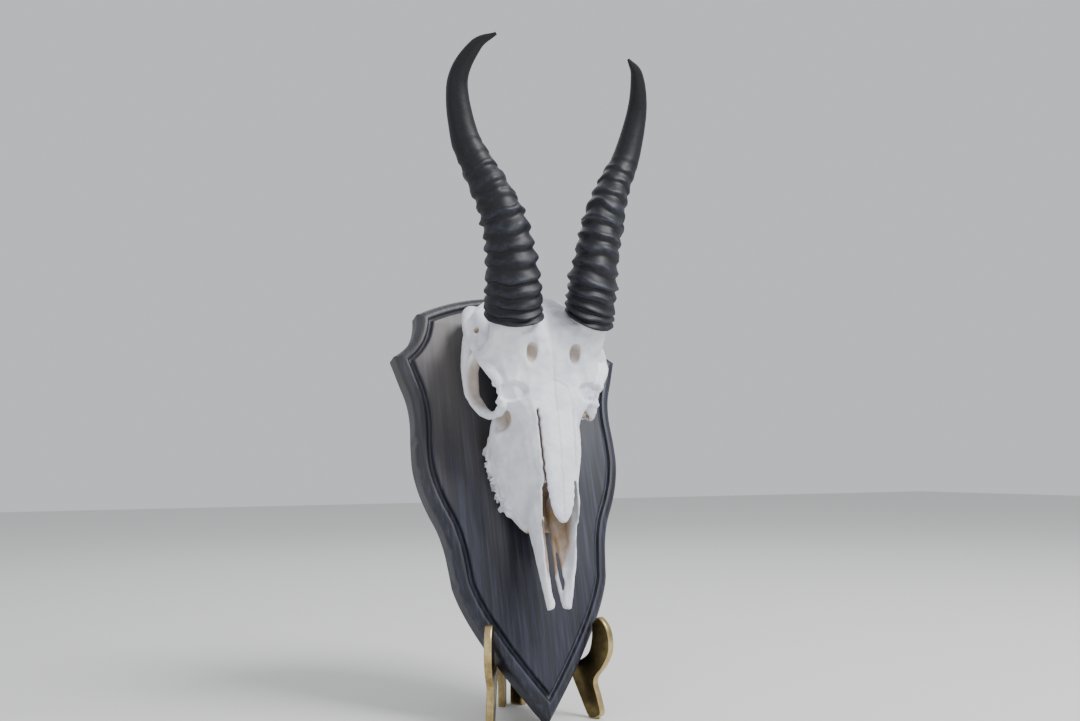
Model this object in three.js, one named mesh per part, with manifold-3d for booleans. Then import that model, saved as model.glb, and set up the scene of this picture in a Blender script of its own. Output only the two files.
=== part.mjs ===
// A bleached antelope skull with its two ringed horns, fixed to a shield-shaped wooden board
// that leans back in a folding brass easel. Millimetres, +Z up, the front faces -Y.
import * as THREE from "three";
import { mergeVertices } from "three/addons/utils/BufferGeometryUtils.js";
import Module from "manifold-3d";

const wasm = await Module();
wasm.setup();

// Driving dimensions of the board.
const LEAN = THREE.MathUtils.degToRad(16.4); // the board leans back from the vertical
const POINT_CLEARANCE = 5; // the board's lower point hangs this far above the table
const BOARD_HEIGHT = 300;
const BOARD_THICKNESS = 18;
const EAR = { half: 85.4, up: 251 }; // the two pointed ears are the board's widest part
const TOP_CORNER = { half: 66.5, up: 284 };
const MOULDING = { inset: 8.5, round: 8, step: 1.6 }; // rounded border below a raised panel

// Driving dimensions of the horns, in the skull's frame.
const HORN_BASE_RADIUS = 16.6;
const HORN_OVAL = { stretch: 0.1, turn: THREE.MathUtils.degToRad(55) }; // round again half way up
const HORN_DROOP = { slope: 0.45, turn: THREE.MathUtils.degToRad(20) }; // rings dip at the front
const HORN_RINGS = 14;
const HORN_RINGED_SHARE = 0.64;
const HORN_RING_HEIGHT = 1.8;
const RIGHT_HORN_SCALE = 0.98; // the right horn is a little shorter than the left
const FIT_GAP = 0.4; // clear space between pieces that touch

// Driving dimensions of the easel.
const WING = { half: 39.2, front: 2.4, spread: THREE.MathUtils.degToRad(27), thickness: 5 };
const HINGE = { barrel: 3.6, pin: 1.5, bore: 1.9, low: 26, knuckle: 13, knuckles: 4 };

// Colours and finishes.
const bone = new THREE.MeshStandardMaterial({ color: 0xe9e8ea, roughness: 0.7, metalness: 0 });
const horn = new THREE.MeshStandardMaterial({ color: 0x24252c, roughness: 0.5, metalness: 0 });
const wood = new THREE.MeshStandardMaterial({ color: 0x494a54, roughness: 0.55, metalness: 0 });
const brass = new THREE.MeshStandardMaterial({ color: 0xa98a58, roughness: 0.3, metalness: 1 });
const steel = new THREE.MeshStandardMaterial({ color: 0x8f8f93, roughness: 0.35, metalness: 1 });

// Closed three.js geometry as a solid, and back.
function solidOf(geometry) {
  const bare = geometry.clone();
  bare.deleteAttribute("normal");
  bare.deleteAttribute("uv");
  const merged = mergeVertices(bare, 1e-4);
  return new wasm.Manifold(
    new wasm.Mesh({
      numProp: 3,
      vertProperties: merged.attributes.position.array,
      triVerts: new Uint32Array(merged.index.array),
    }),
  );
}

function geometryOf(solid) {
  const mesh = solid.getMesh();
  const geometry = new THREE.BufferGeometry();
  geometry.setAttribute("position", new THREE.BufferAttribute(mesh.vertProperties, 3));
  geometry.setIndex(new THREE.BufferAttribute(mesh.triVerts, 1));
  geometry.computeVertexNormals();
  return geometry;
}

function joined(solids) {
  return solids.reduce((whole, piece) => whole.add(piece));
}

function named(name, geometry, material) {
  const mesh = new THREE.Mesh(geometry, material);
  mesh.name = name;
  return mesh;
}

// The skull's frame is the board's: x to the right, up along the board from its point,
// and out from the board's front face.
const at = (x, up, out) => new THREE.Vector3(x, -out, up);
const mirrored = (points) => points.map(([x, ...rest]) => [-x, ...rest]);
const bothSides = (make) => [1, -1].map(make);

// A capped cylinder whose rings are moved one by one: place(along, turn, reach) gives the point
// for a share of the length, an angle round the ring and 0 at the cap's centre or 1 on its rim.
function shapedCylinder(sides, steps, place) {
  const geometry = new THREE.CylinderGeometry(1, 1, 1, sides, steps);
  const position = geometry.attributes.position;
  for (let i = 0; i < position.count; i++) {
    const x = position.getX(i);
    const z = position.getZ(i);
    const reach = Math.min(1, Math.hypot(x, z));
    const point = place(position.getY(i) + 0.5, reach > 0.5 ? Math.atan2(x, z) : 0, reach);
    position.setXYZ(i, point.x, point.y, point.z);
  }
  return geometry;
}

// A limb of bone: an oval rod along a smooth path. Each station is [x, up, out, halfX, halfOther].
function limb(stations, sides, steps, squareness = 1) {
  const path = new THREE.CatmullRomCurve3(stations.map(([x, up, out]) => at(x, up, out)));
  const sizes = new THREE.CatmullRomCurve3(
    stations.map(([, , , a, b]) => new THREE.Vector3(a, b, 0)),
  );
  const across = new THREE.Vector3(1, 0, 0);
  const soft = (value) => Math.sign(value) * Math.abs(value) ** (1 / squareness);
  return shapedCylinder(sides, steps, (along, turn, reach) => {
    const tangent = path.getTangent(along);
    const side = across.clone().addScaledVector(tangent, -across.dot(tangent)).normalize();
    const other = side.clone().cross(tangent);
    const size = sizes.getPoint(along);
    return path
      .getPoint(along)
      .addScaledVector(side, reach * size.x * soft(Math.sin(turn)))
      .addScaledVector(other, reach * size.y * soft(Math.cos(turn)));
  });
}

// A body through cross-sections that are alike left and right. Each section holds its place along
// the skull and its right half from the crown round to the underside, as [x, out] points.
function sectioned(sections, sides, steps) {
  const rails = sections[0].half.map(
    (_, i) =>
      new THREE.CatmullRomCurve3(sections.map(({ up, half }) => at(half[i][0], up, half[i][1]))),
  );
  return shapedCylinder(sides, steps, (along, turn, reach) => {
    const half = new THREE.CatmullRomCurve3(rails.map((rail) => rail.getPoint(along)));
    const share = Math.abs(turn) / Math.PI;
    const point = half.getPoint(share);
    if (turn < 0) point.x = -point.x;
    const middle = half.getPoint(0).lerp(half.getPoint(1), 0.5);
    return middle.lerp(point, reach);
  });
}

function lump(x, up, out, radii, sides = 8) {
  const ball = new THREE.SphereGeometry(1, sides, Math.round(sides * 0.7));
  ball.scale(radii[0], radii[2], radii[1]);
  const centre = at(x, up, out);
  return ball.translate(centre.x, centre.y, centre.z);
}

// A closed ring through points round the orbit. Each point is [x, up, out, halfWide, halfThick].
function ring(points, centre, sides, steps) {
  const path = new THREE.CatmullRomCurve3(points.map(([x, up, out]) => at(x, up, out)), true);
  const sizes = new THREE.CatmullRomCurve3(
    points.map(([, , , a, b]) => new THREE.Vector3(a, b, 0)),
    true,
  );
  const geometry = new THREE.TorusGeometry(1, 0.5, sides, steps);
  const position = geometry.attributes.position;
  for (let j = 0; j <= sides; j++) {
    const turn = ((j % sides) / sides) * Math.PI * 2;
    for (let i = 0; i <= steps; i++) {
      const along = (i % steps) / steps;
      const point = path.getPoint(along);
      const tangent = path.getTangent(along);
      const outward = point.clone().sub(centre);
      outward.addScaledVector(tangent, -outward.dot(tangent)).normalize();
      const beside = outward.clone().cross(tangent);
      const size = sizes.getPoint(along);
      point.addScaledVector(outward, size.y * Math.cos(turn));
      point.addScaledVector(beside, size.x * Math.sin(turn));
      position.setXYZ(j * (steps + 1) + i, point.x, point.y, point.z);
    }
  }
  return geometry;
}

// The braincase, forehead and face, from the front of the muzzle up to the back of the head.
const skullSections = [
  { up: 117, half: [[0, 55], [9, 54], [13.6, 47.5], [14, 36], [12.4, 26], [10.5, 18], [0, 20]] },
  { up: 128, half: [[0, 58], [10, 57], [15.5, 49], [16, 36], [17, 22], [15.5, 8], [0, 13]] },
  { up: 140, half: [[0, 60], [10, 58.5], [15, 51], [17.5, 38], [21, 24], [21.5, 9], [0, 14]] },
  { up: 152, half: [[0, 62], [11, 60.5], [16.5, 54], [20.5, 41], [25, 26], [26, 11], [0, 15]] },
  { up: 168, half: [[0, 64], [12, 62.5], [19, 56], [24, 43], [28, 28], [29, 12], [0, 15]] },
  { up: 184, half: [[0, 65.5], [13, 64.5], [19.5, 57], [25, 43], [31, 28], [29, 14], [0, 15]] },
  { up: 197, half: [[0, 66], [16, 65.5], [29, 59], [30, 45], [29, 29], [23, 15], [0, 15]] },
  { up: 210, half: [[0, 67.5], [18, 68], [36, 60.5], [22, 46], [18, 28], [15, 16], [0, 16]] },
  { up: 224, half: [[0, 71.5], [20, 73], [40, 61.5], [21, 46], [17, 28], [13, 18], [0, 17]] },
  { up: 238, half: [[0, 75], [24, 84], [38, 64], [25, 44], [19, 24], [13, 15], [0, 14]] },
  { up: 252, half: [[0, 71], [20, 74], [31, 57], [31, 38], [26, 18], [14, 10], [0, 10]] },
  { up: 266, half: [[0, 61], [16, 59], [28, 48], [33, 30], [34, 12], [18, 5], [0, 6]] },
  { up: 277, half: [[0, 49], [14, 47], [26, 38], [33, 22], [34, 10], [18, 4], [0, 5]] },
  { up: 284, half: [[0, 38], [9, 37], [18, 32], [22, 22], [20, 12], [10, 7], [0, 7]] },
];

// The hollow of the nose, open between the nasal bones and the side walls.
const noseHollow = [
  [0, 108, 47, 11.6, 24],
  [0, 128, 46, 12.8, 24],
  [0, 139, 42, 12.5, 20],
  [0, 154, 39, 10, 15],
  [0, 168, 39, 5, 8],
];

const nasalBones = [
  [0, 206, 63.4, 8, 2.2],
  [0, 186, 63, 12.5, 2.8],
  [0, 168, 61.5, 12, 2.9],
  [0, 152, 59.8, 11.2, 2.8],
  [0, 139, 57.8, 9.8, 2.5],
  [0, 128, 56.2, 8.6, 2.3],
  [0, 119, 55, 5.4, 2],
  [0, 115.5, 54.6, 1.8, 1.2],
];

// Right-hand pieces. The left-hand ones are their mirror images.
const orbitCentre = { x: 38, up: 212, out: 44 };
const orbitRim = [
  [42, 221, 57.5, 4.5, 3.2],
  [43.5, 233, 47, 4, 3.2],
  [44.5, 227, 34, 4.5, 2.6],
  [43, 209, 26, 4.5, 2.8],
  [35.5, 193, 37, 4.5, 3.4],
  [32.5, 192, 50, 3.8, 3.2],
  [34.5, 205, 59, 3.6, 3.2],
];
const browBar = [
  [27, 240, 62, 8, 8],
  [36, 233, 60, 6.5, 6.5],
  [43.5, 226, 54, 4, 4.5],
];
const cheekArch = [
  [43, 210, 25, 2.6, 4],
  [43, 228, 17, 2.2, 4],
  [40, 247, 13, 2.4, 3.6],
  [34, 264, 13, 5, 5],
];
const jawBlade = [
  [13, 126, 36, 1.8, 13],
  [11.4, 106, 36, 1.7, 9.5],
  [10.8, 90, 35, 1.7, 6],
  [10, 76, 32.5, 2.6, 4.2],
  [7.8, 65.5, 31, 3.4, 3.4],
];
const palateRod = [
  [2.9, 136, 26, 1.5, 2.4],
  [3, 110, 26.5, 1.4, 2],
  [3.4, 86, 26.5, 1.4, 1.8],
  [6, 69, 29.5, 2, 2.2],
];
// The stump of bone that carries a horn runs on into the room cut for the horn.
const hornStump = [
  [24, 226, 52, 14, 14],
  [25.6, 238, 66, 15, 14.5],
  [27, 246, 74, 14.2, 14],
  [27.6, 254, 79, 11, 11],
];
const CHEEK_TEETH = 6;
const TOOTH_ROW = { low: 134, high: 182, inner: 16.5, outer: 28, root: 17, tip: 0.6 };

function cheekTeeth(side) {
  const pitch = (TOOTH_ROW.high - TOOTH_ROW.low) / CHEEK_TEETH;
  return Array.from({ length: CHEEK_TEETH }, (_, i) => {
    const share = (i + 0.5) / CHEEK_TEETH;
    const up = TOOTH_ROW.low + (i + 0.5) * pitch;
    const x = side * (TOOTH_ROW.inner + (TOOTH_ROW.outer - TOOTH_ROW.inner) * Math.sqrt(share));
    const half = pitch * 0.55;
    return limb(
      [
        [x, up, TOOTH_ROW.root, 4.6, half],
        [x + side * 1.5, up, TOOTH_ROW.tip, 1.2, half * 0.55],
      ],
      5,
      1,
    );
  });
}

// The horn grows along this curve from its base on the brow to its tip, [x, up, out].
const hornPath = [
  [27.1, 248, 76.7],
  [28.3, 265, 85],
  [31.7, 290, 94.5],
  [38, 315, 99.5],
  [49, 341, 101],
  [59.5, 363, 106.5],
  [65.6, 393, 121],
  [58.5, 407.5, 140],
  [47.5, 411, 151],
];
const hornTaper = [1, 0.98, 0.87, 0.78, 0.66, 0.57, 0.42, 0.26, 0.06];
const HORN_SIDES = 12;
const HORN_STEPS = HORN_RINGS * 2 + 13;

function hornCurve(side, scale) {
  const [, baseUp, baseOut] = hornPath[0];
  return new THREE.CatmullRomCurve3(
    hornPath.map(([x, up, out]) =>
      at(side * x, baseUp + (up - baseUp) * scale, baseOut + (out - baseOut) * scale),
    ),
  );
}

// Rings crowd together at the base and spread upward, with one step on each crest and groove.
function hornStation(step) {
  const ringSteps = HORN_RINGS * 2;
  if (step > ringSteps) {
    const beyond = (step - ringSteps) / (HORN_STEPS - ringSteps);
    return { along: HORN_RINGED_SHARE + (1 - HORN_RINGED_SHARE) * beyond, relief: 0 };
  }
  const share = step / ringSteps;
  const fade = Math.min(1, (1 - share) * 2.2);
  const relief = step % 2 === 1 ? HORN_RING_HEIGHT * fade : 0;
  return { along: HORN_RINGED_SHARE * share ** 1.2, relief };
}

// A horn, or with some growth the room kept clear for it in the skull.
function hornGeometry(side, scale, growth = 0) {
  const curve = hornCurve(side, scale);
  const taper = new THREE.CatmullRomCurve3(hornTaper.map((r) => new THREE.Vector3(r, 0, 0)));
  const across = new THREE.Vector3(1, 0, 0);
  return shapedCylinder(HORN_SIDES, HORN_STEPS, (share, turn, reach) => {
    const { along, relief } = hornStation(Math.round(share * HORN_STEPS));
    const tangent = curve.getTangent(along);
    const sideways = across.clone().addScaledVector(tangent, -across.dot(tangent)).normalize();
    const outward = sideways.clone().cross(tangent);
    const radius = HORN_BASE_RADIUS * taper.getPoint(along).x + relief - HORN_RING_HEIGHT / 3;
    const stretch = HORN_OVAL.stretch * Math.max(0, 1 - along * 2);
    const oval = 1 + stretch * Math.cos(2 * (turn + side * HORN_OVAL.turn));
    const reachOut = reach * (radius * oval + growth);
    const slope = HORN_DROOP.slope * Math.max(0, 1 - along * 1.6) ** 2;
    const droop = slope * reachOut * Math.cos(turn - side * HORN_DROOP.turn);
    return curve
      .getPoint(along)
      .addScaledVector(tangent, share === 0 ? -droop - growth : -droop)
      .addScaledVector(sideways, reachOut * Math.sin(turn))
      .addScaledVector(outward, reachOut * Math.cos(turn));
  });
}

function skullGeometry() {
  const hollow = solidOf(limb(noseHollow, 12, 8, 1.6));
  const face = solidOf(sectioned(skullSections, 22, 24)).subtract(hollow);
  const sided = bothSides((side) => {
    const onSide = (points) => (side > 0 ? points : mirrored(points));
    const orbit = at(side * orbitCentre.x, orbitCentre.up, orbitCentre.out);
    return [
      ring(side > 0 ? orbitRim : mirrored(orbitRim).reverse(), orbit, 6, 18),
      limb(onSide(browBar), 8, 3),
      limb(onSide(cheekArch), 6, 6),
      limb(onSide(jawBlade), 8, 10),
      limb(onSide(palateRod), 5, 6),
      lump(side * 32.5, 272, 12, [6.5, 9, 9]), // root of the cheek arch, behind the ear
      lump(side * 15, 262, 9, [8, 11, 8]), // ear capsule, on the board
      lump(side * 9, 283, 12, [7, 7, 9]), // neck joint
      limb(onSide(hornStump), 10, 3),
      ...cheekTeeth(side),
    ].map(solidOf);
  }).flat();
  const pits = bothSides((side) => [
    lump(side * 15.5, 223.5, 73.5, [3.2, 7.5, 4], 7), // hole above the eye
    lump(side * 31, 188, 34, [7, 7, 6], 7), // pit in front of the eye
  ])
    .flat()
    .map(solidOf);
  const hornRoom = [
    solidOf(hornGeometry(-1, 1, FIT_GAP)),
    solidOf(hornGeometry(1, RIGHT_HORN_SCALE, FIT_GAP)),
  ];
  const bones = joined([face, solidOf(limb(nasalBones, 8, 12)), ...sided]);
  return geometryOf(bones.subtract(joined([...pits, ...hornRoom])));
}

// The board's outline, from its point up the right side and back down the left.
function boardOutline() {
  const spot = (x, y) => new THREE.Vector2(x, y);
  const ear = spot(EAR.half, EAR.up);
  const corner = spot(TOP_CORNER.half, TOP_CORNER.up);
  const waist = spot(54.3, 90);
  const flank = [waist, spot(55.8, 103), spot(57.6, 115.5), spot(61.2, 128.5), spot(67.2, 142)];
  flank.push(spot(72.1, 156), spot(75, 171), spot(75.2, 187), spot(74.4, 205), spot(75.9, 220));
  flank.push(spot(80.5, 235), ear);
  const curves = [
    new THREE.QuadraticBezierCurve(spot(0, 0), spot(47, 60), waist),
    new THREE.SplineCurve(flank),
    new THREE.QuadraticBezierCurve(ear, spot(TOP_CORNER.half, 262), corner),
    new THREE.QuadraticBezierCurve(corner, spot(34, BOARD_HEIGHT), spot(0, BOARD_HEIGHT)),
  ];
  const right = curves.flatMap((curve, i) => curve.getPoints(i === 1 ? 13 : 4).slice(1));
  const left = right.slice(0, -1).map(({ x, y }) => spot(-x, y));
  return new THREE.Shape([spot(0, 0), ...right, ...left.reverse()]);
}

// Extrusions run along +Z, so each is stood up to face the front.
function stoodUp(geometry) {
  return geometry.rotateX(Math.PI / 2);
}

function boardGeometry() {
  const outline = boardOutline();
  const { inset, round, step } = MOULDING;
  const body = new THREE.ExtrudeGeometry(outline, {
    depth: BOARD_THICKNESS,
    bevelThickness: round,
    bevelSize: round,
    bevelOffset: -round,
    bevelSegments: 2,
  });
  const panel = new THREE.ExtrudeGeometry(outline, {
    depth: BOARD_THICKNESS / 2,
    bevelThickness: step / 2,
    bevelSize: step / 2,
    bevelOffset: -inset - step / 2,
    bevelSegments: 1,
  });
  stoodUp(body).translate(0, BOARD_THICKNESS + round + step, 0);
  stoodUp(panel).translate(0, BOARD_THICKNESS / 2 + step / 2, 0);
  const behind = new THREE.BoxGeometry(400, 60, 700).translate(0, BOARD_THICKNESS + 30, 0);
  return geometryOf(solidOf(body).subtract(solidOf(behind)).add(solidOf(panel)));
}

// One wing of the easel, drawn in its own plane: forward from the front foot, and up.
function wingOutline() {
  const outline = new THREE.Shape();
  const through = (...points) =>
    outline.splineThru(points.map(([x, y]) => new THREE.Vector2(x, y)));
  outline.moveTo(-8, 0);
  outline.lineTo(-3, 0);
  through([1.8, 4], [-0.5, 14], [-3.3, 25], [4.5, 35], [9.6, 46], [8, 59], [1, 66.5], [-5, 62]);
  through([-5.4, 52], [-8, 43], [-14, 38], [-19.5, 36.6], [-23.2, 42]);
  outline.lineTo(-55.2, 142);
  through([-58.5, 150.5], [-65, 149], [-66, 140], [-60, 112], [-66, 102]);
  outline.lineTo(-79, 98);
  outline.lineTo(-79, 0);
  outline.lineTo(-68, 0);
  through([-66, 14], [-56, 33], [-42, 41], [-28, 34], [-18.5, 18], [-11, 4], [-8, 0]);
  return outline;
}

// The plane of a wing stands upright through its front foot and the hinge.
function wingSolid(side) {
  const plate = new THREE.ExtrudeGeometry(wingOutline(), {
    depth: WING.thickness - 1.6,
    curveSegments: 2,
    bevelThickness: 0.8,
    bevelSize: 0.8,
    bevelOffset: -0.8,
    bevelSegments: 1,
  });
  plate.translate(0, 0, -(WING.thickness - 1.6) / 2);
  const forward = new THREE.Vector3(side * Math.sin(WING.spread), -Math.cos(WING.spread), 0);
  const up = new THREE.Vector3(0, 0, 1);
  const turn = new THREE.Matrix4().makeBasis(forward, up, forward.clone().cross(up));
  turn.setPosition(side * WING.half, WING.front, 0);
  return solidOf(plate.applyMatrix4(turn));
}

const hingeLine = { y: WING.front + WING.half / Math.tan(WING.spread) };

function uprightRod(radius, low, high, sides) {
  const rod = new THREE.CylinderGeometry(radius, radius, high - low, sides);
  return solidOf(rod.rotateX(Math.PI / 2).translate(0, hingeLine.y, (low + high) / 2));
}

// Each wing carries every other knuckle of the hinge at its back edge.
function wingGeometry(side) {
  const { barrel, bore, low, knuckle, knuckles } = HINGE;
  const high = low + knuckle * knuckles;
  const own = [];
  const others = [];
  for (let i = 0; i < knuckles; i++) {
    const isOwn = i % 2 === (side > 0 ? 0 : 1);
    const foot = low + i * knuckle;
    const gap = isOwn ? FIT_GAP / 2 : -FIT_GAP / 2;
    const rod = uprightRod(isOwn ? barrel : barrel + 0.5, foot + gap, foot + knuckle - gap, 8);
    (isOwn ? own : others).push(rod);
    if (isOwn) own.push(knuckleTab(side, foot + gap, foot + knuckle - gap));
  }
  const wing = joined([wingSolid(side), ...own]);
  return geometryOf(wing.subtract(joined([...others, uprightRod(bore, low - 5, high + 5, 8)])));
}

// A short web that ties a knuckle to its wing.
function knuckleTab(side, low, high) {
  const reach = 9;
  const tab = new THREE.BoxGeometry(3, reach, high - low);
  tab.translate(0, -reach / 2, (low + high) / 2);
  tab.rotateZ(side * WING.spread).translate(0, hingeLine.y, 0);
  return solidOf(tab);
}

function pinGeometry() {
  const { pin, barrel, low, knuckle, knuckles } = HINGE;
  const high = low + knuckle * knuckles;
  const knob = (z) => {
    const ball = new THREE.SphereGeometry(barrel, 8, 6);
    return solidOf(ball.translate(0, hingeLine.y, z));
  };
  const shaft = uprightRod(pin, low - barrel, high + barrel, 8);
  return geometryOf(joined([shaft, knob(low - barrel - FIT_GAP), knob(high + barrel + FIT_GAP)]));
}

// The board, skull and horns share the leaning frame.
const trophy = new THREE.Group();
trophy.rotation.x = -LEAN;
trophy.position.set(0, -BOARD_THICKNESS / 2, POINT_CLEARANCE);
trophy.add(named("shield_board", boardGeometry(), wood));
trophy.add(named("skull", skullGeometry(), bone));
trophy.add(named("horn_left", hornGeometry(-1, 1), horn));
trophy.add(named("horn_right", hornGeometry(1, RIGHT_HORN_SCALE), horn));

const easel = new THREE.Group();
easel.add(named("easel_wing_left", wingGeometry(-1), brass));
easel.add(named("easel_wing_right", wingGeometry(1), brass));
easel.add(named("easel_hinge_pin", pinGeometry(), brass));

// The origin is on the table, under the middle of the whole object.
const part = new THREE.Group();
part.add(trophy, easel);
const box = new THREE.Box3().setFromObject(part, true);
const middle = box.getCenter(new THREE.Vector3());
trophy.position.add(new THREE.Vector3(-middle.x, -middle.y, -box.min.z));
easel.position.set(-middle.x, -middle.y, -box.min.z);

export default part;
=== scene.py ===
import math
import bmesh
import bpy
import numpy as np
from mathutils import Matrix, Vector, geometry, noise


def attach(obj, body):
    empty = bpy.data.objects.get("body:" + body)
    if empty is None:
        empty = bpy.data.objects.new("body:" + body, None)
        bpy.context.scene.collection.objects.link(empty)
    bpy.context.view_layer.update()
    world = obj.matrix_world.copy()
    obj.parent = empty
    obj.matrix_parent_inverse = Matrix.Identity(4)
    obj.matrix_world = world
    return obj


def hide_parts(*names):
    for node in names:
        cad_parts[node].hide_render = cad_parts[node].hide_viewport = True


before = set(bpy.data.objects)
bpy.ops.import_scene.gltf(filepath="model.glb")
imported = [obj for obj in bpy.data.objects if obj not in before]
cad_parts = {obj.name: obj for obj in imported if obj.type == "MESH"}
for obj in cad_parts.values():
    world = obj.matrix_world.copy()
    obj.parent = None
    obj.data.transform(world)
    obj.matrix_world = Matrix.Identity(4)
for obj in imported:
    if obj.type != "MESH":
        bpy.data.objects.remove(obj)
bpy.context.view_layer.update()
mm = 0.001

# The board's own frame: x right, y into the board from its front face, z up from its point.
lean = {"angle": math.radians(16.4), "point": (0, -0.0364245, 0.005)}
boardFrame = Matrix.Translation(lean["point"]) @ Matrix.Rotation(-lean["angle"], 4, "X")


def onBoard(x, up, out):
    return boardFrame @ (Vector((x, -out, up)) * mm)


def linearise(hexColour):
    channels = [int(hexColour[i:i + 2], 16) / 255 for i in (1, 3, 5)]
    return [c / 12.92 if c <= 0.04045 else ((c + 0.055) / 1.055) ** 2.4 for c in channels] + [1.0]


def smoothStep(low, high, value):
    share = min(1.0, max(0.0, (value - low) / (high - low)))
    return share * share * (3 - 2 * share)


# a smooth curve through a few points of any number of values
def curveThrough(points, count):
    rows = [Vector(p) for p in points]
    rows = [rows[0] * 2 - rows[1]] + rows + [rows[-1] * 2 - rows[-2]]
    spans = len(rows) - 3
    result = []
    for i in range(count + 1):
        place = i / count * spans
        k = min(int(place), spans - 1)
        t = place - k
        a, b, c, d = rows[k:k + 4]
        result.append(0.5 * ((2 * b) + (c - a) * t + (2 * a - 5 * b + 4 * c - d) * t * t
                             + (3 * b - a - 3 * c + d) * t ** 3))
    return result


# Links gives each input a socket or a value; stops are the places and hex colours of a ramp.
# A colour mix has its factor at input 0, its two colours at 6 and 7, and its result at output 2.
def addNode(tree, kind, links=None, stops=(), **settings):
    node = tree.nodes.new(kind)
    for name, value in settings.items():
        setattr(node, name, value)
    elements = node.color_ramp.elements if stops else ()
    while len(elements) < len(stops):
        elements.new(0.5)
    for element, (place, hexColour) in zip(elements, stops):
        element.position = place
        element.color = linearise(hexColour)
    for socket, source in (links or {}).items():
        if isinstance(source, bpy.types.NodeSocket):
            tree.links.new(source, node.inputs[socket])
        else:
            node.inputs[socket].default_value = source
    return node


def newMaterial(name):
    material = bpy.data.materials.new(name)
    material.use_nodes = True
    tree = material.node_tree
    return material, tree, tree.nodes["Principled BSDF"]


def finishPiece(mesh, name, material, node):
    piece = bpy.data.objects.new(name, mesh)
    bpy.context.collection.objects.link(piece)
    mesh.materials.clear()
    mesh.materials.append(material)
    for polygon in mesh.polygons:
        polygon.use_smooth = True
    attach(piece, "root")
    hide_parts(node)


def meshFrom(bm, name):
    mesh = bpy.data.meshes.new(name)
    bm.to_mesh(mesh)
    bm.free()
    return mesh


# Bleached bone, boiled and whitened: cool white, chalky, with fine pores and tan left in the hollows.
bone = {"white": "#eeeff6", "shade": "#d5d8e3", "tan": "#a58558", "crack": "#5a3a2c",
        "poreSize": 0.9, "mottleSize": 14, "stainGain": 1.6, "bump": 0.55, "bumpDepth": 0.5,
        "roughness": 0.62, "ior": 1.5}


def makeBone():
    material, tree, shader = newMaterial("bleachedBone")
    place = addNode(tree, "ShaderNodeTexCoord").outputs["Object"]
    mottle = addNode(tree, "ShaderNodeTexNoise", {"Vector": place, "Scale": 1 / (bone["mottleSize"] * mm),
                                                  "Detail": 5.0, "Roughness": 0.6}).outputs["Fac"]
    pores = addNode(tree, "ShaderNodeTexNoise", {"Vector": place, "Scale": 1 / (bone["poreSize"] * mm),
                                                 "Detail": 3.0}).outputs["Fac"]
    base = addNode(tree, "ShaderNodeValToRGB", {"Fac": mottle},
                   stops=[(0.35, bone["shade"]), (0.6, bone["white"])]).outputs["Color"]
    stain = addNode(tree, "ShaderNodeAttribute", attribute_name="stain").outputs["Fac"]
    patchy = addNode(tree, "ShaderNodeMath", {0: mottle, 1: bone["stainGain"]},
                     operation="MULTIPLY").outputs[0]
    amount = addNode(tree, "ShaderNodeMath", {0: stain, 1: patchy}, operation="MULTIPLY",
                     use_clamp=True).outputs[0]
    tanned = addNode(tree, "ShaderNodeMix", {0: amount, 6: base, 7: linearise(bone["tan"])},
                     data_type="RGBA").outputs[2]
    split = addNode(tree, "ShaderNodeAttribute", attribute_name="crack").outputs["Fac"]
    cracked = addNode(tree, "ShaderNodeMix", {0: split, 6: tanned, 7: linearise(bone["crack"])},
                      data_type="RGBA").outputs[2]
    tree.links.new(cracked, shader.inputs["Base Color"])
    grain = addNode(tree, "ShaderNodeMath", {0: pores, 1: mottle}, operation="ADD").outputs[0]
    bump = addNode(tree, "ShaderNodeBump", {"Height": grain, "Strength": bone["bump"],
                                            "Distance": bone["bumpDepth"] * mm})
    tree.links.new(bump.outputs["Normal"], shader.inputs["Normal"])
    shader.inputs["Roughness"].default_value = bone["roughness"]
    shader.inputs["IOR"].default_value = bone["ior"]
    return material


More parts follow.
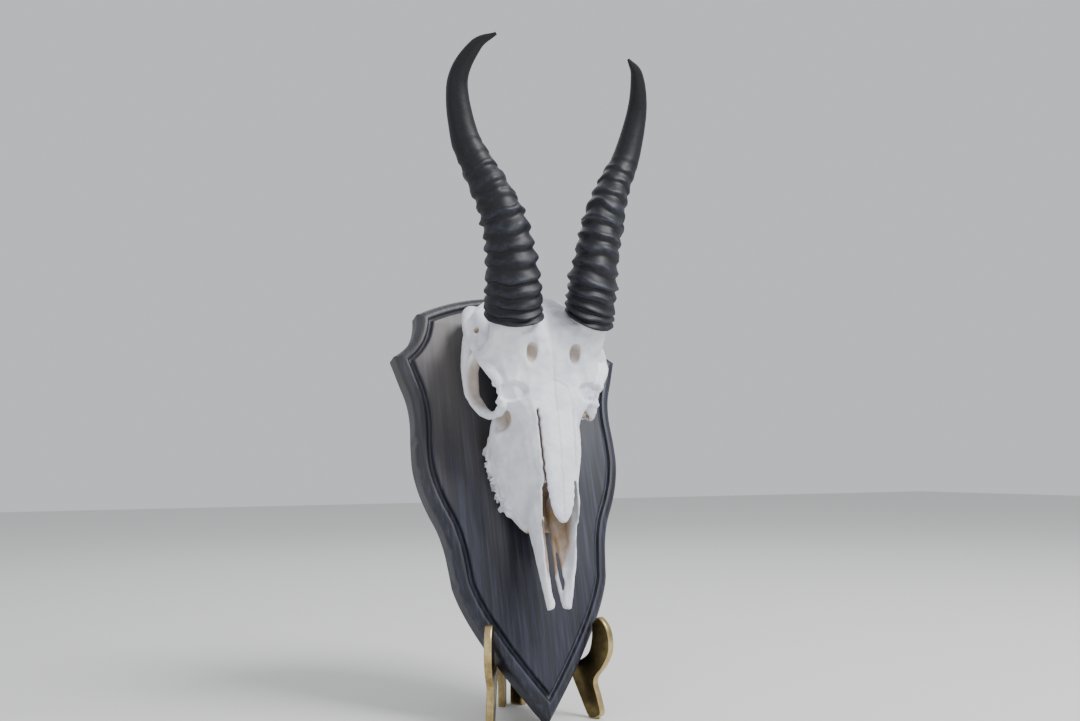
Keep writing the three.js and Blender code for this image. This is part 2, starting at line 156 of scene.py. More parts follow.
# The skull starts from the construction's own shape, is made even and smooth, then gets its detail.
# Sizes are in mm; swell and pits are its slow and fine unevenness, each with its height and its spacing.
skull = {"voxel": 0.8, "relaxRounds": 36, "relaxIn": 0.6, "relaxOut": -0.62, "mostTriangles": 190000,
         "ballSpacing": 0.4, "swell": (0.5, 11), "pits": (0.2, 3.2), "seamsFrom": 48, "seamsFacing": 0.2,
         "seamWander": (0.5, 4), "flute": (2.4, 2.0, 9), "toothRough": 2.6, "rimRough": 0.5,
         "rimNotch": (1.6, 4), "teeth": ((25, 158, 5), (12, 30, 13)),
         "socketRim": ((36, 200, 57), (8, 14, 8)), "tipPinch": 0.26, "tipSpan": (66, 100)}
boneChains = [  # x, up, out and radius along each piece of bone built up on both sides
    [(42, 232, 43, 2.8), (41.5, 226, 32, 3), (40, 210, 25, 3), (35, 196, 31, 3)],
    [(43, 238, 44, 3.6), (42.5, 250, 33, 3.6), (39.5, 262, 24, 4.6), (34, 274, 18, 7)],
    [(36, 240, 48, 6), (30, 252, 38, 7), (27, 268, 28, 10)],
    [(44, 214, 24, 3.2), (44, 228, 25, 4.2), (43.5, 238, 31, 4), (42.5, 248, 29, 4)],
    [(40, 246, 40, 4.5), (38, 254, 33, 5), (35, 264, 25, 6.5)],
    [(36, 244, 46, 5), (33, 256, 38, 6.5), (31, 266, 30, 8)],
    [(5, 138, 27, 3.2), (5, 124, 27.5, 2.8), (6, 110, 29, 2.4), (8.4, 96, 31, 1.6)],
    [(9.5, 138, 27, 3.5), (9.3, 124, 28, 3.2), (9, 110, 30, 2.6), (9.8, 96, 32, 1.7),
     (10.2, 84, 33, 1.3)],
    [(6.2, 112, 29, 2.6), (6.8, 100, 30, 2.4), (7.6, 90, 31, 2), (8.4, 82, 32, 1.6)],
    [(7.4, 69, 31, 3.9), (8.4, 73, 31.5, 3.7), (9.6, 82, 33, 2.6)],
    [(17.5, 134, 10, 4), (22, 146, 9.5, 4), (25, 158, 9.5, 4), (27.5, 173, 10.5, 4), (27, 184, 14, 3)],
]
stainSpots = [  # centre x, up, out, radii, strength, where it starts to fade; both sides
    ((0, 128, 28), (14.2, 44, 30), 0.95, 0.86),
    ((38, 216, 38), (14, 22, 17), 0.8, 0.55),
    ((15.5, 224, 70), (4, 8, 6), 0.75, 0.55),
    ((28, 192, 40), (10, 12, 12), 0.8, 0.55),
    ((38.5, 251, 38), (4.5, 6, 7), 1.0, 0.55),
    ((24, 158, 6), (9, 28, 9), 0.2, 0.3),
]
dents = [  # centre, radii, depth in mm, where its wall begins (1 is a sharp edge); both sides
    ((28, 201, 62), (12, 7, 10), 2.8, 0.7),
    ((15.2, 225, 73), (5.5, 11, 9), 2.4, 0.2),
    ((28, 192, 40), (8.5, 11.5, 11), 3.4, 0.5),
    ((38.5, 251, 38), (3.4, 4.4, 6), 5.0, 0.6),
    ((0, 240, 78), (7, 22, 12), 1.6, 0.3),
    ((21, 208, 66), (5, 14, 9), 1.2, 0.3),
    ((22, 165, 42), (9, 20, 14), 1.4, 0.3),
]
seams = [  # (x, up) line on the front face, half width and depth in mm, colour strength
    ([(-12.6, 188), (-12.0, 168), (-11.4, 152), (-10.6, 138)], 0.85, 2.4, 1.0),
    ([(12.4, 188), (12.0, 168), (11.4, 152)], 0.6, 0.6, 0.25),
    ([(0.4, 206), (0.2, 168), (0, 118)], 0.6, 0.6, 0.12),
    ([(0.4, 206), (-0.4, 230), (0.3, 262)], 0.6, 0.4, 0.06),
    ([(-9, 203), (0, 208), (9, 203), (13, 190)], 0.6, 0.35, 0.06),
]


def insideBlob(point, centre, radii, wall=0.55):
    parts = [(abs(point[0]) - centre[0]) / radii[0] if centre[0] else point[0] / radii[0],
             (point[1] - centre[1]) / radii[1], (point[2] - centre[2]) / radii[2]]
    return 1 - smoothStep(wall, 1.0, math.sqrt(sum(p * p for p in parts)))


def lineDistance(x, up, line):
    best = 1e9
    for (x0, u0), (x1, u1) in zip(line, line[1:]):
        dx, du = x1 - x0, u1 - u0
        share = min(1.0, max(0.0, ((x - x0) * dx + (up - u0) * du) / (dx * dx + du * du)))
        best = min(best, math.hypot(x - x0 - dx * share, up - u0 - du * share))
    return best


# smooth without shrinking: each round moves in, then out by a little more
def relax(mesh, rounds):
    count = len(mesh.vertices)
    places = np.empty(count * 3)
    mesh.vertices.foreach_get("co", places)
    places = places.reshape(-1, 3)
    edges = np.empty(len(mesh.edges) * 2, dtype=np.int64)
    mesh.edges.foreach_get("vertices", edges)
    a, b = edges.reshape(-1, 2).T
    degree = np.bincount(a, minlength=count) + np.bincount(b, minlength=count)
    for _ in range(rounds):
        for factor in (skull["relaxIn"], skull["relaxOut"]):
            total = np.empty_like(places)
            for axis in range(3):
                total[:, axis] = np.bincount(a, places[b, axis], count)
                total[:, axis] += np.bincount(b, places[a, axis], count)
            places = places + factor * (total / degree[:, None] - places)
    mesh.vertices.foreach_set("co", places.ravel())
    mesh.update()


def modified(mesh, kind, **settings):
    holder = bpy.data.objects.new("holder", mesh)
    bpy.context.collection.objects.link(holder)
    modifier = holder.modifiers.new("shape", kind)
    for name, value in settings.items():
        setattr(modifier, name, value)
    graph = bpy.context.evaluated_depsgraph_get()
    shaped = bpy.data.meshes.new_from_object(holder.evaluated_get(graph))
    bpy.data.objects.remove(holder)
    return shaped


# balls set close together along a chain; the even skin laid over them joins them up
def addChain(bm, chain, side):
    for start, end in zip(chain, chain[1:]):
        start, end = Vector(start), Vector(end)
        count = math.ceil((end.xyz - start.xyz).length / (skull["ballSpacing"] * min(start.w, end.w)))
        for i in range(count + 1):
            ball = start.lerp(end, i / count)
            place = Matrix.Translation(onBoard(side * ball.x, ball.y, ball.z))
            bmesh.ops.create_icosphere(bm, subdivisions=2, radius=ball.w * mm, matrix=place)


def makeSkull(material):
    bm = bmesh.new()
    bm.from_mesh(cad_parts["skull"].data)
    bmesh.ops.remove_doubles(bm, verts=bm.verts, dist=0.01 * mm)
    for side in (-1, 1):
        for chain in boneChains:
            addChain(bm, chain, side)
    mesh = modified(meshFrom(bm, "skullSolid"), "REMESH", mode="VOXEL", voxel_size=skull["voxel"] * mm)
    relax(mesh, skull["relaxRounds"])
    toBoard = boardFrame.inverted()
    stains = np.zeros(len(mesh.vertices))
    cracks = np.zeros(len(mesh.vertices))
    moves = []
    for vertex in mesh.vertices:
        local = toBoard @ vertex.co / mm
        x, up, out = local.x, local.z, -local.y
        point = (x, up, out)
        push = 0.0
        for height, size in (skull["swell"], skull["pits"]):
            push += height * noise.noise(Vector(point) / size)
        for centre, radii, depth, wall in dents:
            push -= depth * insideBlob(point, centre, radii, wall)
        for centre, radii, strength, fade in stainSpots:
            stain = strength * insideBlob(point, centre, radii, fade)
            stains[vertex.index] = max(stains[vertex.index], stain)
        facing = -(toBoard.to_3x3() @ vertex.normal).y
        if out > skull["seamsFrom"] and facing > skull["seamsFacing"]:
            reach, length = skull["seamWander"]
            wander = reach * noise.noise(Vector((up / length, 3.1, 0)))
            for line, half, depth, strength in seams:
                near = 1 - smoothStep(half * 0.5, half * 1.3, lineDistance(x + wander, up, line))
                push -= depth * near
                cracks[vertex.index] = max(cracks[vertex.index], strength * near)
        fluted = Vector([value / size for value, size in zip(point, skull["flute"])])
        ragged = noise.noise(fluted) + 0.5 * noise.noise(fluted * 2)
        teeth = insideBlob(point, *skull["teeth"])
        rim = insideBlob(point, *skull["socketRim"])
        notch, notchSize = skull["rimNotch"]
        notched = notch * noise.noise(Vector(point) / notchSize)
        push += ragged * (skull["toothRough"] * teeth + skull["rimRough"] * rim) + notched * rim
        move = vertex.normal * (push * mm)
        move.x -= skull["tipPinch"] * vertex.co.x * (1 - smoothStep(*skull["tipSpan"], up))
        moves.append(move)
    for vertex, move in zip(mesh.vertices, moves):
        vertex.co += move
    mesh.attributes.new("stain", "FLOAT", "POINT").data.foreach_set("value", stains)
    mesh.attributes.new("crack", "FLOAT", "POINT").data.foreach_set("value", cracks)
    triangles = sum(len(p.vertices) - 2 for p in mesh.polygons)
    if triangles > skull["mostTriangles"]:
        mesh = modified(mesh, "DECIMATE", ratio=skull["mostTriangles"] / triangles)
    finishPiece(mesh, "skullBone", material, "skull")
    print("skull", triangles, "triangles before thinning")


# Horn sheath: grown keratin, satin and blue-black, with a fine mottle and faint grey on the ridges, partly
# wear and partly a painted highlight.
keratin = {"dark": "#07080c", "mid": "#10121a", "light": "#2a2e3b", "mottleAround": 4.074,
           "mottleAlong": 2.167, "patchSize": 18, "ridgeWearAndHighlight": 0.45, "bump": 0.25, "bumpDepth": 0.4,
           "roughness": 0.5, "ior": 1.54, "specular": 0.34}


def makeKeratin():
    material, tree, shader = newMaterial("hornKeratin")
    growth = addNode(tree, "ShaderNodeUVMap", uv_map="growth").outputs["UV"]
    around = 2 * math.pi * horn["baseRadius"] / keratin["mottleAround"]
    along = horn["length"] / keratin["mottleAlong"]
    stretched = addNode(tree, "ShaderNodeMapping",
                        {"Vector": growth, "Scale": (around, along, 1)}).outputs["Vector"]
    mottle = addNode(tree, "ShaderNodeTexNoise", {"Vector": stretched, "Scale": 1.0, "Detail": 6.0,
                                                  "Roughness": 0.65}).outputs["Fac"]
    place = addNode(tree, "ShaderNodeTexCoord").outputs["Object"]
    patches = addNode(tree, "ShaderNodeTexNoise", {"Vector": place, "Detail": 4.0,
                                                   "Scale": 1 / (keratin["patchSize"] * mm)}).outputs["Fac"]
    crest = addNode(tree, "ShaderNodeAttribute", attribute_name="crest").outputs["Fac"]
    # the ring crests are lightened toward grey: partly wear on the ridges, partly a painted highlight
    ridgeWearAndHighlightShare = addNode(tree, "ShaderNodeMath", {0: crest, 1: keratin["ridgeWearAndHighlight"]},
                    operation="MULTIPLY").outputs[0]
    lightened = addNode(tree, "ShaderNodeMath", {0: ridgeWearAndHighlightShare, 1: patches}, operation="MULTIPLY").outputs[0]
    tone = addNode(tree, "ShaderNodeMath", {0: mottle, 1: lightened}, operation="ADD").outputs[0]
    colour = addNode(tree, "ShaderNodeValToRGB", {"Fac": tone},
                     stops=[(0.3, keratin["dark"]), (0.62, keratin["mid"]), (1.0, keratin["light"])])
    tree.links.new(colour.outputs["Color"], shader.inputs["Base Color"])
    bump = addNode(tree, "ShaderNodeBump", {"Height": tone, "Strength": keratin["bump"],
                                            "Distance": keratin["bumpDepth"] * mm})
    tree.links.new(bump.outputs["Normal"], shader.inputs["Normal"])
    shader.inputs["Roughness"].default_value = keratin["roughness"]
    shader.inputs["IOR"].default_value = keratin["ior"]
    shader.inputs["Specular IOR Level"].default_value = keratin["specular"]
    return material


# the path is x, up and out in mm, mirrored for the left horn; the taper is a share of the base radius
horn = {"baseRadius": 16.6, "length": 208, "rings": 14, "ringedShare": 0.64, "ringHeight": 1.8,
        "ringSpread": 1.2, "ringWander": 0.3, "ringUneven": 0.5, "ringFade": 2.2, "crestAt": 0.35,
        "crestUneven": 0.45, "lumps": 0.2, "sides": 56, "steps": 300,
        "ovalStretch": 0.1, "ovalTurn": math.radians(55), "droop": 0.45, "droopTurn": math.radians(20),
        "rightScale": 0.98}
hornPath = [(27.1, 248, 76.7), (28.3, 265, 85), (31.7, 290, 94.5), (38, 315, 99.5), (49, 341, 101),
            (59.5, 363, 106.5), (65.6, 393, 121), (58.5, 407.5, 140), (47.5, 411, 151)]
hornTaper = [1, 0.98, 0.87, 0.78, 0.66, 0.57, 0.42, 0.26, 0.06]


# rings crowd at the base and spread upward; each rises sharply to a crest and falls away slowly above it
def ringRelief(along, turn, side):
    share = along / horn["ringedShare"]
    if share >= 1:
        return 0.0
    phase = share ** (1 / horn["ringSpread"]) * horn["rings"]
    around = Vector((math.cos(turn) * 1.3, math.sin(turn) * 1.3, phase * 0.7 + side * 9))
    phase += horn["ringWander"] * noise.noise(around)
    strength = 1 + horn["ringUneven"] * noise.noise(Vector((round(phase) * 1.7, side * 4, 0.5)))
    part = phase % 1
    wave = smoothStep(0, horn["crestAt"], part) * (1 - smoothStep(horn["crestAt"], 1.05, part)) * 1.1
    return strength * wave * min(1.0, (1 - share) * horn["ringFade"])


def makeHorn(side, scale, node, material):
    base = Vector(hornPath[0])
    rows = []
    for (x, up, out), taper in zip(hornPath, hornTaper):
        rows.append((side * x, base.y + (up - base.y) * scale, base.z + (out - base.z) * scale, taper))
    stations = curveThrough(rows, horn["steps"])
    bm = bmesh.new()
    bm.verts.layers.float.new("turn")
    bm.verts.layers.float.new("crest")
    bm.verts.layers.float.new("along")
    growth = bm.loops.layers.uv.new("growth")
    turnLayer = bm.verts.layers.float["turn"]
    crestLayer = bm.verts.layers.float["crest"]
    alongLayer = bm.verts.layers.float["along"]
    ring = bmesh.ops.create_circle(bm, segments=horn["sides"], radius=1)["verts"]
    for vertex in ring:
        vertex[turnLayer] = math.atan2(vertex.co.x, vertex.co.y)
    edges = list(bm.edges)
    for i, station in enumerate(stations):
        if i:
            grown = bmesh.ops.extrude_edge_only(bm, edges=edges)["geom"]
            ring = [g for g in grown if isinstance(g, bmesh.types.BMVert)]
            edges = [g for g in grown if isinstance(g, bmesh.types.BMEdge)]
        along = i / horn["steps"]
        near = stations[min(i + 1, len(stations) - 1)]
        past = stations[max(i - 1, 0)]
        tangent = Vector(near[:3]) - Vector(past[:3])
        tangent.normalize()
        sideways = (Vector((1, 0, 0)) - tangent * tangent.x).normalized()
        outward = sideways.cross(tangent)
        stretch = horn["ovalStretch"] * max(0.0, 1 - along * 2)
        slope = horn["droop"] * max(0.0, 1 - along * 1.6) ** 2
        for vertex in ring:
            turn = vertex[turnLayer]
            rough = noise.noise(Vector((math.cos(turn) * 2 + side, math.sin(turn) * 2, along * 40)))
            relief = ringRelief(along, turn, side)
            height = horn["ringHeight"] * relief * (1 + horn["crestUneven"] * rough)
            radius = horn["baseRadius"] * station[3] + height + horn["lumps"] * rough * station[3]
            radius -= horn["ringHeight"] / 3 * max(0.0, 1 - along)
            reach = radius * (1 + stretch * math.cos(2 * (turn + side * horn["ovalTurn"])))
            dip = slope * reach * math.cos(turn - side * horn["droopTurn"])
            spot = Vector(station[:3]) - tangent * dip
            spot += sideways * (reach * math.sin(turn)) + outward * (reach * math.cos(turn))
            vertex.co = onBoard(*spot)
            vertex[crestLayer] = relief
            vertex[alongLayer] = along
        if i == 0:
            bmesh.ops.edgeloop_fill(bm, edges=edges)
    bmesh.ops.edgeloop_fill(bm, edges=edges)
    for face in bm.faces:
        turns = [loop.vert[turnLayer] for loop in face.loops]
        wraps = max(turns) - min(turns) > math.pi
        for loop in face.loops:
            turn = loop.vert[turnLayer]
            turn += 2 * math.pi if wraps and turn < 0 else 0
            loop[growth].uv = (turn / (2 * math.pi), loop.vert[alongLayer])
    bmesh.ops.recalc_face_normals(bm, faces=bm.faces)
    finishPiece(meshFrom(bm, node + "Sheath"), node + "Sheath", material, node)
    print(node, "sheath made")


# Stained softwood: dark blue-grey dye along the grain, grey-brown where the panel was rubbed back.
stainedWood = {"deep": "#101118", "stain": "#1f2130", "grey": "#373a4b", "rubbed": "#8f8983", "grain": 2.2,
               "grainStretch": 0.035, "plank": 48, "plankStretch": 0.16, "rubbedUp": 1.1,
               "rubbedRight": -3.4, "bump": 0.25, "bumpDepth": 0.4, "roughness": 0.45, "ior": 1.5}


def makeWood():
    material, tree, shader = newMaterial("stainedSoftwood")
    place = addNode(tree, "ShaderNodeTexCoord").outputs["Object"]
    upright = addNode(tree, "ShaderNodeMapping", {"Vector": place, "Rotation": (lean["angle"], 0, 0)})
    upright = upright.outputs["Vector"]
    fibres = addNode(tree, "ShaderNodeMapping", {"Vector": upright,
                                                 "Scale": (1, 1, stainedWood["grainStretch"])})
    grain = addNode(tree, "ShaderNodeTexNoise", {"Vector": fibres.outputs["Vector"], "Detail": 7.0,
                                                 "Scale": 1 / (stainedWood["grain"] * mm),
                                                 "Roughness": 0.62}).outputs["Fac"]
    wide = addNode(tree, "ShaderNodeMapping", {"Vector": upright,
                                               "Scale": (1, 1, stainedWood["plankStretch"])})
    bands = addNode(tree, "ShaderNodeTexNoise", {"Vector": wide.outputs["Vector"], "Detail": 3.0,
                                                 "Scale": 1 / (stainedWood["plank"] * mm),
                                                 "Distortion": 0.4}).outputs["Fac"]
    dyed = addNode(tree, "ShaderNodeValToRGB", {"Fac": grain},
                   stops=[(0.36, stainedWood["deep"]), (0.52, stainedWood["stain"]),
                          (0.7, stainedWood["grey"])]).outputs["Color"]
    spot = addNode(tree, "ShaderNodeSeparateXYZ", {0: upright})
    higher = addNode(tree, "ShaderNodeMath", {0: spot.outputs["Z"], 1: stainedWood["rubbedUp"], 2: bands},
                     operation="MULTIPLY_ADD").outputs[0]
    tilted = addNode(tree, "ShaderNodeMath", {0: spot.outputs["X"], 1: stainedWood["rubbedRight"],
                                              2: higher}, operation="MULTIPLY_ADD").outputs[0]
    streaky = addNode(tree, "ShaderNodeValToRGB", {"Fac": tilted},
                      stops=[(0.7, "#000000"), (1.0, "#b8b8b8")]).outputs["Color"]
    panel = addNode(tree, "ShaderNodeAttribute", attribute_name="panel").outputs["Fac"]
    amount = addNode(tree, "ShaderNodeMath", {0: streaky, 1: panel}, operation="MULTIPLY").outputs[0]
    lightened = addNode(tree, "ShaderNodeMix", {0: amount, 6: dyed, 7: linearise(stainedWood["rubbed"])},
                   data_type="RGBA").outputs[2]
    tree.links.new(lightened, shader.inputs["Base Color"])
    bump = addNode(tree, "ShaderNodeBump", {"Height": grain, "Strength": stainedWood["bump"],
                                            "Distance": stainedWood["bumpDepth"] * mm})
    tree.links.new(bump.outputs["Normal"], shader.inputs["Normal"])
    shader.inputs["Roughness"].default_value = stainedWood["roughness"]
    shader.inputs["IOR"].default_value = stainedWood["ior"]
    return material


# in mm; a chip is x, up, reach and bite, and the hollow beside the round is rows of inset and depth
board = {"height": 300, "thickness": 18, "ear": (85.4, 251), "corner": (66.5, 284), "waist": (54.3, 90),
         "round": 6.0, "roundSteps": 10, "step": 1.6, "points": (110, 16, 24),
         "chips": [(-75, 189, 4, 1.6), (-74.5, 167, 3.5, 1.3), (-54.5, 90.5, 4.5, 1.6), (-57, 112, 3, 0.9)],
         "hollow": [(6.9, 1.8), (7.7, 2.6), (8.4, 3.3), (9.2, 3.5), (9.9, 3.1), (10.4, 1.9), (10.7, 0.6),
                    (11.2, 0.15), (12, 0)], "mouldingRub": 0.25, "chipDepths": (1, 14),
         "sharpFrom": math.radians(30)}


def quadratic(start, control, end, count):
    a, b, c = Vector(start), Vector(control), Vector(end)
    shares = [i / count for i in range(count + 1)]
    return [a * (1 - t) ** 2 + b * (2 * t * (1 - t)) + c * t * t for t in shares]


# one half of the edge, (x, up), in three runs that meet in sharp corners: flank, scooped ear and crown
def boardRuns():
    flank = [board["waist"], (55.8, 103), (57.6, 115.5), (61.2, 128.5), (67.2, 142), (72.1, 156), (75, 171),
             (75.2, 187), (74.4, 205), (75.9, 220), (80.5, 235), board["ear"]]
    lower = quadratic((0, 0), (47, 60), board["waist"], 16) + curveThrough(flank, 66)[1:]
    scoop = quadratic(board["ear"], (board["corner"][0], 262), board["corner"], 20)
    crown = quadratic(board["corner"], (34, board["height"]), (0, board["height"]), 20)
    return [lower, scoop, crown]


def moveIn(run, inset):
    moved = []
    for i, point in enumerate(run):
        along = (run[min(i + 1, len(run) - 1)] - run[max(i - 1, 0)]).normalized()
        moved.append(point + Vector((-along.y, along.x)) * inset)
    return moved


# cut two runs off where they cross
def mitre(first, second):
    for i in range(len(first) - 1, 0, -1):
        for k in range(len(second) - 1):
            meet = geometry.intersect_line_line_2d(first[i - 1], first[i], second[k], second[k + 1])
            if meet:
                return first[:i] + [meet], [meet] + second[k + 1:]
    return first, second


def spaced(run, count):
    lengths = [0.0]
    for a, b in zip(run, run[1:]):
        lengths.append(lengths[-1] + (b - a).length)
    points = []
    k = 0
    for i in range(count + 1):
        goal = lengths[-1] * i / count
        while k < len(run) - 2 and lengths[k + 1] < goal:
            k += 1
        share = (goal - lengths[k]) / max(1e-9, lengths[k + 1] - lengths[k])
        points.append(run[k].lerp(run[k + 1], min(1.0, share)))
    return points


def boardLoop(inset):
    lower, scoop, crown = (moveIn(run, inset) for run in boardRuns())
    if inset:
        axis = [Vector((0, -5)), Vector((0, board["height"]))]
        lower = mitre(axis, lower)[1]
        lower, scoop = mitre(lower, scoop)
        scoop, crown = mitre(scoop, crown)
    right = []
    for run, count in zip((lower, scoop, crown), board["points"]):
        right += spaced(run, count)[1 if right else 0:]
    return right + [Vector((-p.x, p.y)) for p in right[-2:0:-1]]


def makeBoard(material):
    bm = bmesh.new()
    panelLayer = bm.verts.layers.float.new("panel")
    side = board["round"] + board["step"]
    rows = [(0, board["thickness"]), (0, side)]  # inset and depth from the front, back edge to panel
    for i in range(1, board["roundSteps"] + 1):
        turn = math.pi / 2 * i / board["roundSteps"]
        rows.append((board["round"] * (1 - math.cos(turn)), side - board["round"] * math.sin(turn)))
    rows += board["hollow"]
    rings = []
    for inset, depth in rows:
        verts = [bm.verts.new((p.x, depth, p.y)) for p in boardLoop(inset)]
        for vertex in verts:
            vertex[panelLayer] = 1.0 if inset == rows[-1][0] else board["mouldingRub"]
        rings.append([bm.edges.new((a, b)) for a, b in zip(verts, verts[1:] + verts[:1])])
    front, back = board["chipDepths"]
    for vertex in bm.verts:
        for x, up, reach, bite in board["chips"]:
            away = math.hypot(vertex.co.x - x, vertex.co.z - up)
            if away < reach and front < vertex.co.y < back:
                vertex.co.x -= math.copysign(bite * (1 - away / reach), x)
    for outer, inner in zip(rings, rings[1:]):
        bmesh.ops.bridge_loops(bm, edges=outer + inner)
    bmesh.ops.edgeloop_fill(bm, edges=rings[0])
    bmesh.ops.edgeloop_fill(bm, edges=rings[-1])
    bmesh.ops.scale(bm, verts=bm.verts, vec=(mm, mm, mm))
    bmesh.ops.transform(bm, matrix=boardFrame, verts=bm.verts)
    bmesh.ops.recalc_face_normals(bm, faces=bm.faces)
    mesh = meshFrom(bm, "shieldBoard")
    finishPiece(mesh, "shieldBoard", material, "shield_board")
    mesh.set_sharp_from_angle(angle=board["sharpFrom"])
    print("board made")


# Cast brass, filed and polished by hand, now dull: warm bright edges, partly rubbed and partly a painted
# highlight; brown tarnish on the flats, darkened further as a painted reflection of dark surroundings.
agedBrass = {"rubbedAndHighlitTones": ("#8d7a52", "#bda677", "#d8c59c"),
             "tarnishAndDarkReflectionTones": ("#3b3323", "#5d5136", "#7d6d48"),
             "toneStops": (0.32, 0.5, 0.72), "patch": 16, "scratch": 1.2, "bump": 0.08, "bumpDepth": 0.2,
             "dullest": 0.48, "glossiest": 0.22}


def makeBrass(name, tones):
    material, tree, shader = newMaterial(name)
    place = addNode(tree, "ShaderNodeTexCoord").outputs["Object"]
    patches = addNode(tree, "ShaderNodeTexNoise", {"Vector": place, "Scale": 1 / (agedBrass["patch"] * mm),
                                                   "Detail": 6.0, "Roughness": 0.65}).outputs["Fac"]
    colour = addNode(tree, "ShaderNodeValToRGB", {"Fac": patches},
                     stops=list(zip(agedBrass["toneStops"], tones)))
    tree.links.new(colour.outputs["Color"], shader.inputs["Base Color"])
    gloss = addNode(tree, "ShaderNodeMapRange", {"Value": patches, "To Min": agedBrass["dullest"],
                                                 "To Max": agedBrass["glossiest"]}).outputs[0]
    tree.links.new(gloss, shader.inputs["Roughness"])
    fine = addNode(tree, "ShaderNodeTexNoise", {"Vector": place, "Scale": 1 / (agedBrass["scratch"] * mm),
                                                "Detail": 4.0}).outputs["Fac"]
    bump = addNode(tree, "ShaderNodeBump", {"Height": fine, "Strength": agedBrass["bump"],
                                            "Distance": agedBrass["bumpDepth"] * mm})
    tree.links.new(bump.outputs["Normal"], shader.inputs["Normal"])
    shader.inputs["Metallic"].default_value = 1.0
    return material


wing = {"footHalf": 39.2, "footBack": 2.4, "middle": -27.4245, "spread": math.radians(27), "thickness": 5,
        "edgeRound": 0.9, "curveSteps": 6, "flatCorners": 40, "sharpFrom": math.radians(35)}
hinge = {"barrel": 3.6, "pin": 1.5, "low": 26, "knuckle": 13, "knuckles": 4, "gap": 0.4, "tab": (3, 7.5),
         "tabAhead": -5.2, "sides": 28}
hinge["back"] = wing["footBack"] + wing["footHalf"] / math.tan(wing["spread"]) + wing["middle"]


# each stretch of the wing's edge runs on from the last point, in the wing's own plane
def wingOutline():
    stretches = [
        [(-8, 0), (-3, 0)],
        [(-3, 0), (1.8, 4), (-0.5, 14), (-3.3, 25), (4.5, 35), (9.6, 46), (8, 59), (1, 66.5), (-5, 62)],
        [(-5, 62), (-5.4, 52), (-8, 43), (-14, 38), (-19.5, 36.6), (-23.2, 42)],
        [(-23.2, 42), (-55.2, 142)],
        [(-55.2, 142), (-58.5, 150.5), (-65, 149), (-66, 140), (-60, 112), (-66, 102)],
        [(-66, 102), (-79, 98)],
        [(-79, 98), (-79, 0)],
        [(-79, 0), (-68, 0)],
        [(-68, 0), (-66, 14), (-56, 33), (-42, 41), (-28, 34), (-18.5, 18), (-11, 4), (-8, 0)],
    ]
    points = []
    for stretch in stretches:
        count = 1 if len(stretch) == 2 else wing["curveSteps"] * (len(stretch) - 1)
        points += curveThrough(stretch, count)[:-1]
    return [Vector((p.x, max(0.0, p.y))) for p in points]


def addRod(bm, radius, low, high):
    place = Matrix.Translation((0, hinge["back"], (low + high) / 2))
    bmesh.ops.create_cone(bm, cap_ends=True, segments=hinge["sides"], radius1=radius, radius2=radius,
                          depth=high - low, matrix=place)


def makeWing(side, node, material, tarnishAndDarkReflectionMaterial):
    bm = bmesh.new()
    face = bm.faces.new([bm.verts.new((p.x, p.y, -wing["thickness"] / 2)) for p in wingOutline()])
    grown = bmesh.ops.extrude_face_region(bm, geom=[face], use_keep_orig=True)["geom"]
    bmesh.ops.translate(bm, verts=[g for g in grown if isinstance(g, bmesh.types.BMVert)],
                        vec=(0, 0, wing["thickness"]))
    bmesh.ops.recalc_face_normals(bm, faces=bm.faces)
    rims = [e for e in bm.edges if abs(e.verts[0].co.z - e.verts[1].co.z) < 1e-6]
    bmesh.ops.bevel(bm, geom=rims, offset=wing["edgeRound"], segments=3, profile=0.5, affect="EDGES",
                    material=-1)
    forward = Vector((side * math.sin(wing["spread"]), -math.cos(wing["spread"]), 0))
    up = Vector((0, 0, 1))
    turn = Matrix((forward, up, forward.cross(up))).transposed().to_4x4()
    foot = Matrix.Translation((side * wing["footHalf"], wing["footBack"] + wing["middle"], 0))
    bmesh.ops.transform(bm, matrix=foot @ turn, verts=bm.verts)
    for i in range(hinge["knuckles"]):
        if i % 2 == (0 if side > 0 else 1):
            low = hinge["low"] + i * hinge["knuckle"] + hinge["gap"] / 2
            high = low + hinge["knuckle"] - hinge["gap"]
            addRod(bm, hinge["barrel"], low, high)
            tab = bmesh.ops.create_cube(bm, size=1)["verts"]
            bmesh.ops.scale(bm, verts=tab, vec=(*hinge["tab"], high - low))
            bmesh.ops.translate(bm, verts=tab, vec=(0, hinge["tabAhead"], (low + high) / 2))
            bmesh.ops.rotate(bm, verts=tab, matrix=Matrix.Rotation(side * wing["spread"], 3, "Z"))
            bmesh.ops.translate(bm, verts=tab, vec=(0, hinge["back"], 0))
    bmesh.ops.scale(bm, verts=bm.verts, vec=(mm, mm, mm))
    bmesh.ops.recalc_face_normals(bm, faces=bm.faces)
    mesh = meshFrom(bm, node + "Plate")
    finishPiece(mesh, node + "Plate", material, node)
    # the flat sides get the darker copy of the brass, tarnish plus a painted reflection of dark
    # surroundings; edges and knuckles keep the bright copy, rubbed wear plus a painted highlight
    mesh.materials.append(tarnishAndDarkReflectionMaterial)  # for the two flat sides, the only faces with so many corners
    for polygon in mesh.polygons:
        polygon.material_index = 1 if len(polygon.vertices) > wing["flatCorners"] else 0
    mesh.set_sharp_from_angle(angle=wing["sharpFrom"])
    print(node, "made")


def makePin(material):
    bm = bmesh.new()
    high = hinge["low"] + hinge["knuckle"] * hinge["knuckles"]
    addRod(bm, hinge["pin"], hinge["low"] - hinge["barrel"], high + hinge["barrel"])
    for z in (hinge["low"] - hinge["barrel"] - hinge["gap"], high + hinge["barrel"] + hinge["gap"]):
        bmesh.ops.create_uvsphere(bm, u_segments=hinge["sides"], v_segments=16, radius=hinge["barrel"],
                                  matrix=Matrix.Translation((0, hinge["back"], z)))
    bmesh.ops.scale(bm, verts=bm.verts, vec=(mm, mm, mm))
    mesh = meshFrom(bm, "hingePin")
    finishPiece(mesh, "hingePin", material, "easel_hinge_pin")
    print("hinge pin made")
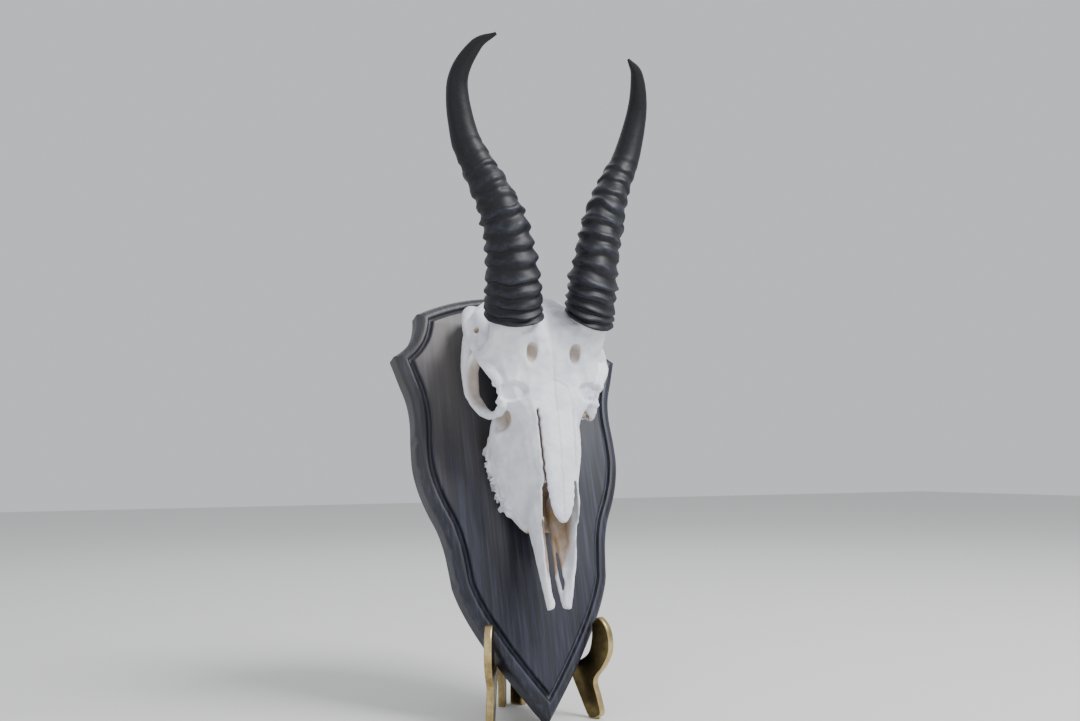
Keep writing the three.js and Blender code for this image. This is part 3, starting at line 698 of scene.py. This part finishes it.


# two copies of one brass: the bright one carries a painted highlight, the dark one a painted dark
# reflection
rubbedAndHighlitBrass = makeBrass("rubbedBrassWithPaintedHighlight", agedBrass["rubbedAndHighlitTones"])
flatBrassWithPaintedDarkReflection = makeBrass("tarnishedBrassWithPaintedDarkReflection", agedBrass["tarnishAndDarkReflectionTones"])
hornFinish = makeKeratin()
makeSkull(makeBone())
makeHorn(-1, 1.0, "horn_left", hornFinish)
makeHorn(1, horn["rightScale"], "horn_right", hornFinish)
makeBoard(makeWood())
makeWing(-1, "easel_wing_left", rubbedAndHighlitBrass, flatBrassWithPaintedDarkReflection)
makeWing(1, "easel_wing_right", rubbedAndHighlitBrass, flatBrassWithPaintedDarkReflection)
makePin(rubbedAndHighlitBrass)

# studio: pale floor, pale surround, broad soft lights
studio = {"floor": "#d8d9d6", "floorHalf": 4, "floorRoughness": 0.7, "surround": "#e4e6ea",
          "surroundStrength": 0.86, "aim": (0, 0, 0.25),
          "lights": [("key", (0.7, -1.0, 1.5), 0.7, 41), ("fill", (-1.3, -0.9, 0.7), 1.3, 3),
                     ("rim", (0.3, 1.0, 1.3), 1.0, 5)]}
bm = bmesh.new()
bmesh.ops.create_grid(bm, x_segments=1, y_segments=1, size=studio["floorHalf"])
floor = bpy.data.objects.new("floor", meshFrom(bm, "floor"))
bpy.context.collection.objects.link(floor)
floorPaint, _, floorShader = newMaterial("paleFloorPaint")
floorShader.inputs["Base Color"].default_value = linearise(studio["floor"])
floorShader.inputs["Roughness"].default_value = studio["floorRoughness"]
floor.data.materials.append(floorPaint)
world = bpy.data.worlds.new("studio")
bpy.context.scene.world = world
world.use_nodes = True
world.node_tree.nodes["Background"].inputs["Color"].default_value = linearise(studio["surround"])
world.node_tree.nodes["Background"].inputs["Strength"].default_value = studio["surroundStrength"]
for name, place, size, power in studio["lights"]:
    lamp = bpy.data.lights.new(name, "AREA")
    lamp.size = size
    lamp.energy = power
    holder = bpy.data.objects.new(name, lamp)
    holder.location = place
    holder.rotation_euler = (Vector(studio["aim"]) - Vector(place)).to_track_quat("-Z", "Y").to_euler()
    bpy.context.collection.objects.link(holder)

# camera left of the object and a little below its middle, looking slightly up
view = {"place": (-0.2728, -0.66962, 0.1681), "yaw": math.radians(22.76), "pitch": math.radians(5.67),
        "roll": math.radians(-0.505), "lens": 34.97, "sensor": 36, "nearest": 0.01}
camera = bpy.data.objects.new("camera", bpy.data.cameras.new("camera"))
camera.data.lens = view["lens"]
camera.data.sensor_width = view["sensor"]
camera.data.clip_start = view["nearest"]
camera.matrix_world = (Matrix.Translation(view["place"]) @ Matrix.Rotation(-view["yaw"], 4, "Z")
                       @ Matrix.Rotation(math.pi / 2 + view["pitch"], 4, "X")
                       @ Matrix.Rotation(view["roll"], 4, "Z"))
bpy.context.collection.objects.link(camera)
bpy.context.scene.camera = camera
print("studio ready")
